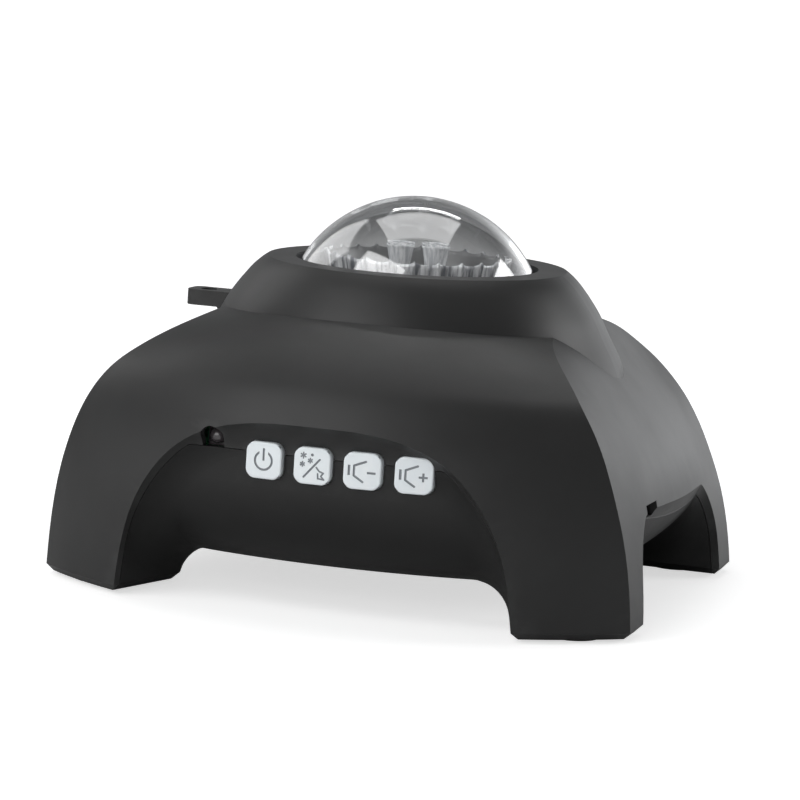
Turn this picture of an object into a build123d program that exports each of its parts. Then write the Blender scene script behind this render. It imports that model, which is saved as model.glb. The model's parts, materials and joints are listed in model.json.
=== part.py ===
from build123d import *
import os
from math import atan2, cos, degrees, hypot, pi, radians, sin, sqrt

os.makedirs("parts", exist_ok=True)

# Star night light projector: a dome lens on a four-legged case.
# Millimetres. +Z is up, the keys face -Y, the origin is on the table under the dome.

# Case
wall = 2.4                # thickness of both shells
foot_lift = 0.8           # height of the shells above the table
leg_floor = 3.4           # thickness of the leg ends
half_width = 86.0         # half the width over the legs
front_reach = 95.5        # front face from the middle, at the table
crown_height = 86.0       # where the front face would close over the top
flat_round = 128.0        # plan radius of the front face, low down
tight_round = 26.0        # plan radius of the front face, at the collar
turn_level = 58.0         # where the front face starts to round in
bell_top = 84.0           # top edge of the face surface, hidden in the collar
split_level = 45.0        # seam between the shells
seam_gap = 0.2
foot_bevel = 2.0
below = 4.0               # how far the tools run past the table plane

# Collar and ring
ring_height = 91.6
ring_outer = 43.6
ring_inner = 35.3
lip_thickness = 2.6
collar_foot = 50.0

# Belly of the case
belly_front = 84.7
belly_side = 82.6
belly_bottom = 11.5
belly_front_round = 170.0
belly_side_round = 400.0
belly_corner = 26.0
belly_edge = 24.0
belly_blend = 11.0        # where the belly runs into the legs
leg_corner = 5.0          # the inner corner of each leg
arch_height = 56.5        # front arch, where it cuts the face
arch_half = 57.4          # front arch, half width at the table
arch_taper = 0.303        # how the leg's inner wall closes in, per millimetre
arch_plane = 81.0         # where arch_half is measured
side_arch_height = 36.3
side_arch_half = 49.0

# Keys
key_pitch = 14.1
key_width = 10.5
key_height = 10.1
key_corner = 2.7
key_proud = 2.0
key_gap = 0.25            # clearance round a key
key_level = 43.0
key_travel = 0.5
key_flange = 1.2
key_rest_gap = 0.3
icon_depth = 0.3
icon_stroke = 0.62
switch_size = 6.0
switch_depth = 3.5
plunger_radius = 1.6
plunger_out = 1.1
plunger_in = 1.4
key_board_front = -72.8
board_thickness = 1.6
key_board_width = 74.0
key_board_low = 34.0
key_board_high = 51.5
key_post_inset = 5.0      # the key board's screws, from its ends
key_screw_rise = 3.0      # and from its lower edge
key_screw_length = 6.0
key_stem_radius = 2.4
notch_width = 6.2
notch_height = 6.0
receiver_radius = 2.5
receiver_level = 47.8
receiver_shift = 1.5

# Dome lens
dome_radius = 38.6
dome_centre = 72.2
dome_wall = 1.2
dome_flange_radius = 38.8
dome_flange = 1.6
gasket_thickness = 0.6
retainer_thickness = 2.0
retainer_outer = 44.8
retainer_inner = 33.8
retainer_screw_circle = 42.0
retainer_boss = 2.5
retainer_pilot = 0.8
retainer_clearance = 1.2
retainer_head = 2.0
retainer_shank = 0.75
baffle_thickness = 1.0
baffle_inner = 29.0

# Optics
deck_level = 66.0
deck_thickness = 2.4
deck_radius = 52.0
column_x = 36.0
column_y = 29.0
column_radius = 3.6
column_rise = 8.0         # the case's bosses under the columns, from the floor
column_screw_reach = 9.0
tower_radius = 12.0
tower_bore = 10.8
tower_flange = 16.0
tower_flange_thickness = 2.0
tower_screw_circle = 14.0
tower_screw_angles = (30, 150, 270)
tower_screw_depth = 1.8
tower_screw_clearance = 1.1
tower_screw_head = 1.7
wire_bore = 9.0           # the way for the wires, through the deck and the tower's foot
slug_seat = 1.6
tower_top = 82.0
washer_level = 73.5
washer_thickness = 0.5
running_gap = 0.05
thrust_gap = 0.1
lens_flange = 13.6
cup_circle = 7.2
cup_turn = 17.0            # the cups stand in two pairs, this much off the case's own axes
cup_top_radius = 4.2
cup_foot_radius = 2.2
cup_wall = 0.9
cup_height = 97.0
slug_height = 6.0
led_board_thickness = 1.2
led_size = 3.0
led_height = 1.2
led_gap = 0.4             # between the lights and the lens
lens_plate = 1.2

# Drive
gear_module = 0.5
gear_teeth = 72
pinion_teeth = 18
gear_level = 76.0
gear_thickness = 3.0
sleeve_wall = 2.8
sleeve_top = 81.5
motor_radius = 10.0
motor_height = 23.6
motor_boss = 3.2
motor_boss_gap = 0.3
motor_screw_reach = 7.5
motor_screw_depth = 4.0
motor_screw_shank = 0.8
motor_screw_head = 1.8
motor_screw_clearance = 1.1
shaft_radius = 1.0
crown_radius = 27.4
crown_top = 94.3
crown_wall = 1.6
crown_flutes = 24
flute_radius = 2.4
flute_out = 1.5           # the flutes' middles, outside the crown
crown_taper = 2.2
laser_radius = 3.0
laser_circle = 23.5
laser_angle = 200.0
laser_height = 8.6
holder_radius = 5.4
holder_height = 5.0
grating_thickness = 1.0

# Speaker and boards
speaker_y = 34.0
speaker_radius = 20.0
speaker_flange = 1.2
speaker_basket = 7.0
speaker_felt = 0.6
speaker_rim = 3.0         # the wall round the speaker, from the floor
magnet_radius = 11.0
magnet_height = 7.0
grille_radius = 16.5
grille_hole = 1.0
grille_pitch = 3.4
board_half_x = 30.0
board_front = -54.0
board_back = 4.0
board_level = 22.0
board_hole_inset = 4.0
board_post = 2.6
board_pilot = 0.9
board_pilot_depth = 6.0
board_clearance = 1.3
small_screw_shank = 0.85
small_screw_head = 1.2    # height
port_y = -33.0
port_level = 32.0
port_width = 11.0
port_height = 4.2
port_recess = 1.8
socket_width = 8.9
socket_height = 3.2
socket_depth = 8.0

# Fasteners and feet
leg_screw_x = 69.0
leg_screw_y = 61.0
boss_radius = 3.4
pilot_radius = 1.25
shank_radius = 1.2
head_radius = 2.7
head_height = 1.4
head_gap = 0.3
case_screw_reach = 12.0
pad_radius = 8.0
pad_thickness = 1.6

# Lug on the left side
lug_top = 77.5
lug_out = -71.0
lug_y = 4.5
lug_width = 10.0
lug_thickness = 4.6
lug_hole = 2.5
lug_hole_x = -65.4

# Worked out from the sizes above
floor_top = belly_bottom + wall
leg_floor_top = foot_lift + leg_floor
lip_under = ring_height - lip_thickness
flange_top = lip_under - gasket_thickness
flange_low = flange_top - dome_flange
retainer_low = flange_low - retainer_thickness
baffle_low = retainer_low - baffle_thickness
deck_top = deck_level + deck_thickness
gear_radius = gear_module * gear_teeth / 2
pinion_radius = gear_module * pinion_teeth / 2
drive_distance = gear_radius + pinion_radius
sleeve_bore = tower_radius + running_gap
sleeve_outer = sleeve_bore + sleeve_wall
sleeve_low = washer_level + washer_thickness + thrust_gap
slug_low = deck_top + tower_flange_thickness + slug_seat
led_board_low = slug_low + slug_height
key_places = {"power": -key_pitch, "stars": 0.0, "volume_down": key_pitch, "volume_up": 2 * key_pitch}
key_screw_level = key_board_low + key_screw_rise
receiver_x = -2 * key_pitch - receiver_shift
plunger_tip = key_board_front - switch_depth - plunger_out
laser_x = laser_circle * cos(radians(laser_angle))
laser_y = laser_circle * sin(radians(laser_angle))

LOW = (Align.CENTER, Align.CENTER, Align.MIN)


def rod(radius, low, high, x=0.0, y=0.0):
    """An upright round bar."""
    return Pos(x, y, low) * Cylinder(radius, high - low, align=LOW)


def tube(outer, inner, low, high, x=0.0, y=0.0):
    """An upright round tube."""
    return rod(outer, low, high, x, y) - rod(inner, low - 1, high + 1, x, y)


def block(x0, x1, y0, y1, z0, z1):
    """A box between two corners."""
    centre = Pos((x0 + x1) / 2, (y0 + y1) / 2, (z0 + z1) / 2)
    return centre * Box(x1 - x0, y1 - y0, z1 - z0)


def four(x, y):
    """The four places (+-x, +-y)."""
    return [(sx * x, sy * y) for sx in (-1, 1) for sy in (-1, 1)]


def turned(points):
    """A body turned about Z from its outline in the XZ plane."""
    face = make_face(Polyline(*[(r, 0, z) for r, z in points], close=True))
    return revolve(face, Axis.Z, 360)


# ---------------------------------------------------------------- case form
def face_reach(level):
    """How far the front face stands out from the middle at a level."""
    rise = max(level, 0) / crown_height
    return front_reach * (1 - rise ** 4) ** (1 / 2.2)


def face_round(level):
    """The plan radius of the front face at a level."""
    t = min(max((level - turn_level) / (crown_height - turn_level), 0), 1)
    return flat_round - (flat_round - tight_round) * t * t * (3 - 2 * t)


def face_half(inset):
    """The front half of the case: a rounded face, filled back to just past the middle."""
    rows = []
    steps = 20
    columns = 10
    sweep = radians(70)
    for i in range(steps):
        level = -below + i * (bell_top + below) / (steps - 1)
        radius = face_round(level) - inset
        centre = face_round(level) - face_reach(level)
        drop = inset * max(0, (level - 50) / 45)
        angles = [sweep * k / columns for k in range(-columns, columns + 1)]
        rows.append([Vector(radius * sin(a), centre - radius * cos(a), level - drop) for a in angles])
    skin = Face.make_surface_from_array_of_points(rows, tol=0.05, min_deg=3)
    filled = extrude(skin, amount=front_reach + 15, dir=(0, 1, 0))
    return filled & block(-200, 200, -200, 5, -10, 200)


def shrunk(points, inset):
    """An open outline moved inwards by inset along its normals."""
    moved = []
    last = len(points) - 1
    for i, (x, z) in enumerate(points):
        xa, za = points[max(i - 1, 0)]
        xb, zb = points[min(i + 1, last)]
        run = hypot(xb - xa, zb - za)
        moved.append((x - inset * (zb - za) / run, z + inset * (xb - xa) / run))
    return moved


def both_sides(half):
    """A right-hand outline followed by its mirror image."""
    return half + [(-x, z) for x, z in reversed(half[:-1])]


w = half_width
front_ridge = [(w, -below), (w - 0.9, 12), (w - 3.2, 28), (w - 7, 42), (w - 12.5, 54.5), (w - 20.5, 65),
               (w - 31, 73), (w - 42, 79), (30, 88), (0, 96)]
rear_ridge = [(w, -below), (w - 1.6, 10), (w - 4.8, 23), (w - 10, 36), (w - 16.8, 48), (w - 25.3, 58.5),
              (w - 34.5, 68.5), (w - 42, 77), (30, 87), (0, 96)]
side_valley = [(w, -below), (w - 0.5, 12), (w - 2.5, 26), (w - 5.2, 37), (w - 10, 46.5), (w - 16, 54.5),
               (w - 23, 62.5), (w - 31, 71), (30, 88), (0, 96)]


def side_section(half, y, inset):
    """The outline of the case across its width, at one place along Y."""
    points = shrunk(both_sides(half), inset)
    curve = Spline(*[(x, y, z) for x, z in points])
    base = Line((points[-1][0], y, points[-1][1]), (points[0][0], y, points[0][1]))
    return Face(Wire([curve.edge(), base.edge()]))


def side_form(inset):
    """Everything between the hollow left and right sides."""
    sections = [(front_ridge, -104), (front_ridge, -60), (side_valley, 0),
                (rear_ridge, 57), (rear_ridge, 104)]
    return loft([side_section(half, y, inset) for half, y in sections])


collar_curve = [(ring_outer + 19.0, 60), (ring_outer + 17.6, 65.9), (ring_outer + 16.0, 69.2),
                (ring_outer + 13.2, 74.2), (ring_outer + 10.6, 79.2), (ring_outer + 7.0, 84.5),
                (ring_outer + 3.5, 88.7), (ring_outer, ring_height)]


def collar(inset):
    """The domed collar that carries the ring."""
    points = shrunk(collar_curve, inset)
    curve = Spline(*[(r, 0, z) for r, z in points])
    low, high = points[0], points[-1]
    rest = Polyline((high[0], 0, high[1]), (0, 0, high[1]), (0, 0, collar_foot), (low[0], 0, collar_foot),
                    (low[0], 0, low[1]))
    form = revolve(make_face([curve.edge()] + rest.edges()), Axis.Z, 360)
    top = ring_height if inset == 0 else lip_under
    return form & block(-200, 200, -200, 200, 0, top)


def outer_form(inset, floor):
    """The whole case without its arches, moved inwards by inset, above a floor level."""
    half = face_half(inset)
    sides = side_form(inset)
    body = (half & sides) + (mirror(half, Plane.XZ) & sides) + collar(inset)
    return body & block(-200, 200, -200, 200, floor, 200)


front_arch = [(arch_half, -below), (arch_half - 1.4, 12), (arch_half - 4.9, 26), (arch_half - 10.4, 38),
              (arch_half - 19.4, arch_height - 8), (24, arch_height - 1.7), (0, arch_height)]
side_arch = [(side_arch_half, -below), (side_arch_half - 0.5, 14), (side_arch_half - 2, 26),
             (side_arch_half - 6.5, side_arch_height - 3.3), (32, side_arch_height - 0.5),
              (0, side_arch_height)]


def arch_section(half, grow, y, widen):
    """The outline of an arch at one place along Y."""
    points = [(x * widen, z) for x, z in shrunk(both_sides(half), -grow)]
    curve = Spline(*[(x, y, z) for x, z in points])
    base = Line((points[-1][0], y, points[-1][1]), (points[0][0], y, points[0][1]))
    return Face(Wire([curve.edge(), base.edge()]))


def arch_form(grow):
    """The space between the legs, front to back and side to side."""
    far = 120
    wide = 1 + (far - arch_plane) * arch_taper / arch_half
    narrow = 1 - arch_plane * arch_taper / arch_half
    half = loft([arch_section(front_arch, grow, -far, wide),
                 arch_section(front_arch, grow, 0, narrow)], ruled=True)
    across = extrude(arch_section(side_arch, grow, -far, 1), amount=2 * far, dir=(0, 1, 0))
    return half + mirror(half, Plane.XZ) + Rot(0, 0, 90) * across


def inner_edges(form, low, high):
    """The edges of a form that lie between the legs and start between two levels."""
    chosen = []
    for edge in form.edges():
        box = edge.bounding_box()
        reach = max(box.max.X, -box.min.X, box.max.Y, -box.min.Y)
        if reach < 100 and low < box.min.Z < high:
            chosen.append(edge)
    return chosen


def under_form(inset):
    """The space under the case: the arches less the belly, with the belly blended into the legs."""
    arches = arch_form(inset)
    if inset == 0:
        arches = fillet(inner_edges(arches, -below - 1, -below + 1), leg_corner)
    space = arches - belly_form(inset)
    blended = [edge for edge in inner_edges(space, 9, 60) if edge.geom_type != GeomType.CIRCLE]
    return fillet(blended, belly_blend + inset)


def belly_form(inset):
    """The belly between the legs: bowed walls, rounded into a flat bottom."""
    top = 70
    low = belly_bottom + inset
    front_r = belly_front_round - inset
    side_r = belly_side_round - inset
    shift_y = front_r - (belly_front - inset)
    shift_x = side_r - (belly_side - inset)
    form = rod(front_r, low, top, 0, shift_y) & rod(front_r, low, top, 0, -shift_y)
    form = form & rod(side_r, low, top, shift_x, 0) & rod(side_r, low, top, -shift_x, 0)
    form = fillet(form.edges().filter_by(Axis.Z), belly_corner - inset)
    return fillet(form.faces().sort_by(Axis.Z)[0].edges(), belly_edge - inset)


def belly_wall(x, inset=0.0):
    """Y of the belly's front wall at x."""
    radius = belly_front_round - inset
    return radius - (belly_front - inset) - sqrt(radius ** 2 - x ** 2)


def side_wall(y):
    """X of the belly's right-hand wall at y."""
    return sqrt(belly_side_round ** 2 - y ** 2) - (belly_side_round - belly_side)


def key_blank(width, height, corner, x, y0, y1):
    """A rounded bar along Y, the size of a key, at its place."""
    sketch = Plane.XZ * RectangleRounded(width, height, corner)
    return Pos(x, y1, key_level) * extrude(sketch, amount=y1 - y0)


def behind_wall(inset):
    """Everything behind the belly's front wall moved inwards by inset."""
    radius = belly_front_round - inset
    return rod(radius, 0, 80, 0, radius - (belly_front - inset))


def leg_places():
    """The screw places in the legs."""
    return four(leg_screw_x, leg_screw_y)


def case_shells():
    """The two shells: the top has the outside and the collar, the bottom the belly and leg insides."""
    ground = -below
    body = (outer_form(0, 0) - under_form(0)) & block(-200, 200, -200, 200, foot_lift, 200)
    body = chamfer(body.faces().filter_by(Plane.XY).group_by(Axis.Z)[0].edges(), foot_bevel)
    inner = outer_form(wall, leg_floor_top) - under_form(wall)
    hollow = body - inner
    low_part = block(-200, 200, -200, 200, ground, split_level)
    top = hollow - (outer_form(wall, ground) & low_part)
    low_part = block(-200, 200, -200, 200, ground, split_level - seam_gap)
    bottom = hollow & (outer_form(wall + seam_gap, ground) & low_part)
    return body, top, bottom


def top_shell_details(body, top):
    """Bosses, the ring's opening, the lug and the cuts for the keys."""
    bosses = None
    for x, y in leg_places():
        boss = rod(boss_radius, leg_floor_top, split_level + 30, x, y)
        bosses = boss if bosses is None else bosses + boss
    for x, y in retainer_places():
        bosses = bosses + rod(retainer_boss, flange_low, lip_under + 1, x, y)
    top = top + (bosses & body)
    for x, y in leg_places():
        top = top - rod(pilot_radius, leg_floor_top - 1, leg_floor_top + case_screw_reach + 2, x, y)
    for x, y in retainer_places():
        top = top - rod(retainer_pilot, flange_low - 1, lip_under + 0.6, x, y)
    top = top - rod(ring_inner, lip_under - 5, ring_height + 5)
    top = top + lug(body)
    notch = block(receiver_x - notch_width / 2, receiver_x + notch_width / 2, -100, -70,
                  split_level - 1, split_level + notch_height - notch_width / 2)
    arch_top = Pos(receiver_x, -85, split_level + notch_height - notch_width / 2) * Rot(90, 0, 0)
    notch = notch + arch_top * Cylinder(notch_width / 2, 30)
    return top - notch - port_opening() - key_openings()


def port_opening():
    """The recess round the power port and the slot for its socket, cut through both shells."""
    wall_x = side_wall(port_y)
    recess = block(wall_x - port_recess, wall_x + 9, port_y - port_width / 2, port_y + port_width / 2,
                   port_level - port_height / 2, port_level + port_height / 2)
    slot = Pos(wall_x - 6, port_y, port_level) * Rot(0, 90, 0)
    return recess + slot * extrude(RectangleRounded(socket_height + 0.3, socket_width + 0.3, 1.6), amount=12)


def key_openings():
    """The four openings for the keys."""
    cut = None
    for x in key_places.values():
        hole = key_blank(key_width + 2 * key_gap, key_height + 2 * key_gap, key_corner + key_gap,
                         x, -100, -70)
        cut = hole if cut is None else cut + hole
    return cut


def lug(body):
    """A small flat lug with an upright hole, standing out of the left side."""
    root = -52
    low = lug_top - lug_thickness
    outline = [(root, lug_top), (lug_out, lug_top), (lug_out, low), (lug_out + 10, low), (root, low - 14)]
    face = make_face(Polyline(*[(x, 0, z) for x, z in outline], close=True))
    form = Pos(0, lug_y + lug_width / 2, 0) * extrude(face, amount=lug_width, dir=(0, -1, 0))
    form = fillet(form.edges().filter_by(Axis.Z).sort_by(Axis.X)[:2], 2.5)
    form = form - rod(lug_hole, low - 20, lug_top + 1, lug_hole_x, lug_y)
    return form - body


def retainer_places():
    """The four screw places of the lens retainer."""
    reach = retainer_screw_circle / sqrt(2)
    return four(reach, reach)


def board_places():
    """The screw places of the main board."""
    x = board_half_x - board_hole_inset
    rows = (board_front + board_hole_inset, board_back - board_hole_inset)
    return [(sx * x, y) for sx in (-1, 1) for y in rows]


def key_post_places():
    """X of the two posts behind the key board."""
    reach = key_board_width / 2 - key_post_inset
    return (-reach, reach)


def grille_places():
    """A staggered field of holes inside the speaker's circle."""
    places = []
    rows = int(grille_radius / (grille_pitch * 0.866))
    for row in range(-rows, rows + 1):
        for column in range(-6, 7):
            x = (column + 0.5 * (row % 2)) * grille_pitch
            y = row * grille_pitch * 0.866
            if hypot(x, y) <= grille_radius - grille_hole:
                places.append((x, speaker_y + y))
    return places


def bottom_shell_details(body, bottom):
    """Seats for the boards, the columns and the speaker, and all holes."""
    under = belly_bottom + 0.5
    added = tube(speaker_radius + 2, speaker_radius + 0.3, under, floor_top + speaker_rim, 0, speaker_y)
    for x, y in four(column_x, column_y):
        added = added + rod(column_radius + 0.8, under, column_foot(), x, y)
    for x, y in board_places():
        added = added + rod(board_post, under, board_level, x, y)
    back = key_board_front + board_thickness
    for x in key_post_places():
        added = added + block(x - 3, x + 3, back, back + 6, under, split_level - 1)
    shelf_x = side_wall(port_y) - socket_depth - 10
    for y in (port_y - 5, port_y + 5):
        added = added + block(shelf_x, shelf_x + 6, y - 2, y + 2, under, port_board_level())
    bottom = bottom + (added & body)
    holes = None
    for x, y in four(column_x, column_y):
        hole = rod(head_radius + head_gap, 0, belly_bottom + head_height + head_gap, x, y)
        hole = hole + rod(pilot_radius + 0.3, 0, column_foot() + 1, x, y)
        holes = hole if holes is None else holes + hole
    for x, y in board_places():
        holes = holes + rod(board_pilot, board_level - board_pilot_depth, board_level + 1, x, y)
    for x in key_post_places():
        pilot = Pos(x, back - 1, key_screw_level) * Rot(-90, 0, 0)
        holes = holes + pilot * Cylinder(board_pilot, key_screw_length + 0.5, align=LOW)
    for x, y in grille_places():
        holes = holes + rod(grille_hole, 5, floor_top + 1, x, y)
    for x, y in leg_places():
        holes = holes + rod(pad_radius + 0.1, -1, pad_thickness, x, y)
        holes = holes + rod(head_radius + head_gap, 0, pad_thickness + head_height, x, y)
        holes = holes + rod(pilot_radius + 0.3, 0, leg_floor_top + 1, x, y)
    return bottom - holes - port_opening() - key_openings()


def column_foot():
    """The level where the deck's columns meet the bottom shell's bosses."""
    return floor_top + column_rise


def port_board_level():
    """The level of the top of the shelf that carries the port's board."""
    return port_level - socket_height / 2 - board_thickness


# ---------------------------------------------------------------- keys
def line_of(points, width):
    """A flat stroke of the given width through points, with round ends."""
    stroke = None
    for (xa, ya), (xb, yb) in zip(points, points[1:]):
        run = hypot(xb - xa, yb - ya)
        slant = Rot(0, 0, degrees(atan2(yb - ya, xb - xa)))
        piece = Pos((xa + xb) / 2, (ya + yb) / 2) * slant * Rectangle(run, width)
        piece = piece + Pos(xa, ya) * Circle(width / 2) + Pos(xb, yb) * Circle(width / 2)
        stroke = piece if stroke is None else stroke + piece
    return stroke


def glyph(name):
    """The engraved sign on a key, as a flat sketch about the key's middle."""
    stroke = icon_stroke
    if name == "power":
        ring = Circle(2.8) - Circle(2.8 - stroke) - Pos(0, 2.5) * Rectangle(2.6, 2.8)
        return ring + Pos(0, 1.7) * Rectangle(stroke, 3.4)
    if name == "stars":
        sign = line_of([(-2.2, -3.1), (2.2, 2.0)], 0.9 * stroke)
        for x, y, size in ((-2.5, 2.8, 0.95), (-0.5, 1.5, 0.8), (-2.7, 0.4, 0.8), (0.0, 3.1, 0.4)):
            for turn in (90, 210, 330):
                sign = sign + Pos(x, y) * Rot(0, 0, turn) * Rectangle(2 * size, 0.65 * stroke)
        ribbon = [(1.3, -0.2), (2.2, -1.2), (3.4, -1.6), (2.7, -2.5), (3.6, -3.4), (1.9, -3.2), (1.8, -1.9)]
        return sign + line_of(ribbon, 0.75 * stroke)
    bar = Pos(-3.6, 0.1) * Rectangle(0.7, 2.8)
    horn = line_of([(1.0, 2.7), (-2.2, 1.4), (-2.2, -1.3), (0.3, -2.9)], stroke)
    dash = Pos(2.6, -0.3) * Rectangle(2.4, 0.6)
    if name == "volume_up":
        dash = dash + Pos(2.6, -0.3) * Rectangle(0.6, 2.4)
    return bar + horn + dash


def key(name, x):
    """A key: a bowed face, a flange that holds it behind the wall, and a stem to its switch."""
    bar = key_blank(key_width, key_height, key_corner, x, -100, belly_wall(x) + 4)
    bar = bar & behind_wall(-key_proud)
    front = bar.faces().sort_by(Axis.Y)[0]
    bar = fillet(front.edges(), 0.5)
    flange_inset = wall + key_rest_gap
    edge = 2 * key_flange
    flange = key_blank(key_width + edge, key_height + edge, key_corner + key_flange, x, -100, -60)
    flange = flange & (behind_wall(flange_inset) - behind_wall(flange_inset + key_flange))
    middle = key_blank(key_width - 3, key_height - 3, 1.2, x, -100, -60)
    middle = middle & (behind_wall(flange_inset) - behind_wall(flange_inset + key_flange))
    back = belly_wall(x) + wall + key_rest_gap + 0.6
    stem = Cylinder(key_stem_radius, plunger_tip - back, align=LOW)
    stem = Pos(x, plunger_tip, key_level) * Rot(90, 0, 0) * stem
    sign = Plane.XZ * glyph(name)
    sign = Pos(x, belly_wall(x), key_level) * extrude(sign, amount=20)
    return (bar + flange + middle + stem) - (sign - behind_wall(icon_depth - key_proud))


def switch_plunger(x):
    """The round plunger of one switch, which moves with its key."""
    length = plunger_out + plunger_in
    place = Pos(x, plunger_tip + length, key_level) * Rot(90, 0, 0)
    return place * Cylinder(plunger_radius, length, align=LOW)


def switch_housings():
    """The four switch bodies on the key board."""
    bodies = None
    for x in key_places.values():
        body = block(x - switch_size / 2, x + switch_size / 2,
                     key_board_front - switch_depth, key_board_front,
                     key_level - switch_size / 2, key_level + switch_size / 2)
        depth = plunger_in + key_travel + 0.4
        bore = Pos(x, key_board_front - switch_depth + depth, key_level) * Rot(90, 0, 0)
        body = body - bore * Cylinder(plunger_radius + running_gap, depth + 1, align=LOW)
        bodies = body if bodies is None else bodies + body
    return bodies


def key_board():
    """The upright circuit board behind the keys."""
    board = block(-key_board_width / 2, key_board_width / 2,
                  key_board_front, key_board_front + board_thickness,
                  key_board_low, key_board_high)
    for x in key_post_places():
        place = Pos(x, key_board_front, key_screw_level) * Rot(90, 0, 0)
        board = board - place * Cylinder(retainer_clearance, 8)
    return board


def key_board_screws():
    """Two screws that hold the key board to its posts."""
    screws = None
    for x in key_post_places():
        head = Pos(x, key_board_front, key_screw_level) * Rot(90, 0, 0)
        head = head * Cylinder(retainer_head, small_screw_head, align=LOW)
        shank = Pos(x, key_board_front + key_screw_length, key_screw_level) * Rot(90, 0, 0)
        screw = head + shank * Cylinder(small_screw_shank, key_screw_length + 1, align=LOW)
        screws = screw if screws is None else screws + screw
    return screws


def ir_receiver():
    """The infrared receiver: a small block with a round nose in the notch."""
    front = belly_wall(receiver_x) + wall
    half = receiver_radius + 0.6
    body = block(receiver_x - half, receiver_x + half, front + 1.0, key_board_front,
                 receiver_level - half, receiver_level + half)
    nose_end = belly_wall(receiver_x) + 0.5
    nose = Pos(receiver_x, front + 1, receiver_level) * Rot(90, 0, 0)
    nose = nose * Cylinder(receiver_radius, front + 1 - nose_end - receiver_radius + 0.6, align=LOW)
    ball = Pos(receiver_x, nose_end + receiver_radius - 0.6, receiver_level) * Sphere(receiver_radius)
    return body + nose + ball


def key_ribbon():
    """The flat cable from the key board down to the main board."""
    top = key_board_low + 8
    back = key_board_front + board_thickness
    level = board_level + board_thickness
    points = [(back, top), (back + 0.5, top), (back + 0.5, level + 3.5), (board_front + 6, level + 0.5),
              (board_front + 6, level), (back, level + 3.2)]
    face = make_face(Polyline(*[(-6, y, z) for y, z in points], close=True))
    return extrude(face, amount=12, dir=(1, 0, 0))


# ---------------------------------------------------------------- dome
def dome_lens():
    """The clear dome with its flange."""
    ball = Pos(0, 0, dome_centre) * (Sphere(dome_radius) - Sphere(dome_radius - dome_wall))
    ball = ball & block(-60, 60, -60, 60, flange_low, 140)
    inner = sqrt((dome_radius - dome_wall) ** 2 - (flange_low - dome_centre) ** 2)
    return ball + tube(dome_flange_radius, inner, flange_low, flange_top)


def dome_gasket():
    """The soft ring between the dome's flange and the case's lip."""
    return tube(dome_flange_radius, ring_inner + 0.3, flange_top, lip_under)


def lens_retainer():
    """The ring that clamps the dome's flange under the lip."""
    ring = tube(retainer_outer, retainer_inner, retainer_low, flange_low)
    for x, y in retainer_places():
        ring = ring - rod(retainer_clearance, retainer_low - 1, flange_low + 1, x, y)
    return ring


def light_baffle():
    """The pale reflector round the crown, held by the retainer's screws."""
    ring = turned([(baffle_inner, baffle_low - 3), (baffle_inner + 1, baffle_low - 3),
                   (baffle_inner + 3, baffle_low), (retainer_outer, baffle_low),
                   (retainer_outer, retainer_low), (baffle_inner + 2.4, retainer_low)])
    for x, y in retainer_places():
        ring = ring - rod(retainer_clearance, baffle_low - 1, retainer_low + 1, x, y)
    return ring


def retainer_screws():
    """Four screws up through the baffle and the retainer into the case."""
    screws = None
    for x, y in retainer_places():
        screw = rod(retainer_head, baffle_low - small_screw_head, baffle_low, x, y)
        screw = screw + rod(retainer_shank, baffle_low - 0.5, lip_under, x, y)
        screws = screw if screws is None else screws + screw
    return screws


# ---------------------------------------------------------------- optics
def optics_deck():
    """The round plate that carries the optics, on four columns."""
    deck = rod(deck_radius, deck_level, deck_top)
    for x, y in four(column_x, column_y):
        deck = deck + rod(column_radius, column_foot(), deck_top, x, y)
    for x, y in four(column_x, column_y):
        deck = deck - rod(pilot_radius, column_foot() - 1, column_foot() + column_screw_reach + 1, x, y)
    deck = deck - rod(motor_boss + motor_boss_gap, deck_level - 1, deck_top + 1, 0, drive_distance)
    deck = deck - rod(wire_bore, deck_level - 1, deck_top + 1)
    for x in (-motor_screw_reach, motor_screw_reach):
        deck = deck - rod(motor_screw_clearance, deck_level - 1, deck_top + 1, x, drive_distance)
    for x, y in tower_screw_places():
        deck = deck - rod(board_pilot, deck_top - tower_screw_depth, deck_top + 1, x, y)
    return deck


def on_circle(radius, angle):
    """X and Y on a circle, the angle in degrees."""
    return radius * cos(radians(angle)), radius * sin(radians(angle))


def tower_screw_places():
    """The places of the screws that hold the tower."""
    return [on_circle(tower_screw_circle, angle) for angle in tower_screw_angles]


def lens_tower():
    """The fixed tube that holds the lights and lets the crown run round it."""
    tower = tube(tower_radius, tower_bore, deck_top, tower_top)
    tower = tower + tube(tower_flange, wire_bore, deck_top, deck_top + tower_flange_thickness)
    tower = tower + tube(sleeve_outer, tower_bore, washer_level - 2, washer_level)
    tower = tower + tube(tower_radius, wire_bore, deck_top, slug_low)
    for x, y in tower_screw_places():
        tower = tower - rod(tower_screw_clearance, deck_top - 1, deck_top + tower_flange_thickness + 1, x, y)
    return tower


def tower_screws():
    """Three screws that hold the tower to the deck."""
    screws = None
    low = deck_top + tower_flange_thickness
    for x, y in tower_screw_places():
        screw = rod(tower_screw_head, low, low + 1, x, y)
        screw = screw + rod(small_screw_shank, deck_top - tower_screw_depth, low + 0.5, x, y)
        screws = screw if screws is None else screws + screw
    return screws


def heat_slug():
    """The metal slug under the light board."""
    return rod(tower_bore - 0.1, slug_low, led_board_low)


def led_board():
    """The round light board."""
    return rod(tower_bore - 0.1, led_board_low, led_board_low + led_board_thickness)


def cup_places():
    """The middles of the four cups and of the lights under them."""
    return [on_circle(cup_circle, cup_turn + angle) for angle in (45, 135, 225, 315)]


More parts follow.
